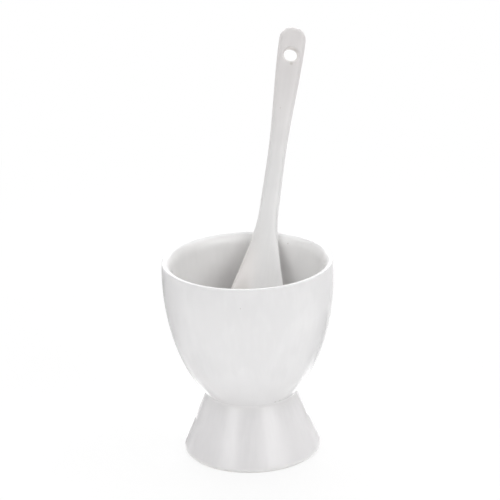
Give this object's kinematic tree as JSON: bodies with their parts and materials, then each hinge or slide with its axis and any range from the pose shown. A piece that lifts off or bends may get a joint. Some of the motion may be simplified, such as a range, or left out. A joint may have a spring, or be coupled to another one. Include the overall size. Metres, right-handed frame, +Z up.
{
  "type": "egg cup",
  "caption": "Footed porcelain egg cup with a rounded bowl on a hollow cone-shaped foot, and a lift-out egg spoon leaning in it.",
  "frame": {"origin": "on the cup's axis, on the plane that the foot ring stands on", "axes": "+Z up the cup's axis, +X to the right and +Y away from the viewer in the picture's view; the spoon's handle leans back and to the right"},
  "size_m": [0.0502, 0.0798, 0.1146],
  "materials": {
    "cup_glaze": "glossy white porcelain glaze",
    "foot_glaze": "glossy white porcelain glaze with an unglazed foot ring",
    "spoon_glaze": "glossy white porcelain glaze"
  },
  "bodies": {
    "cup": {"bowl": "cup_glaze", "foot": "foot_glaze"},
    "spoon": {"spoon": "spoon_glaze"}
  },
  "joints": [
    {"name": "spoon_lift", "type": "slide", "parent": "cup", "child": "spoon", "axis": [0, 0, 1], "range_m": [0, 0.06]}
  ]
}
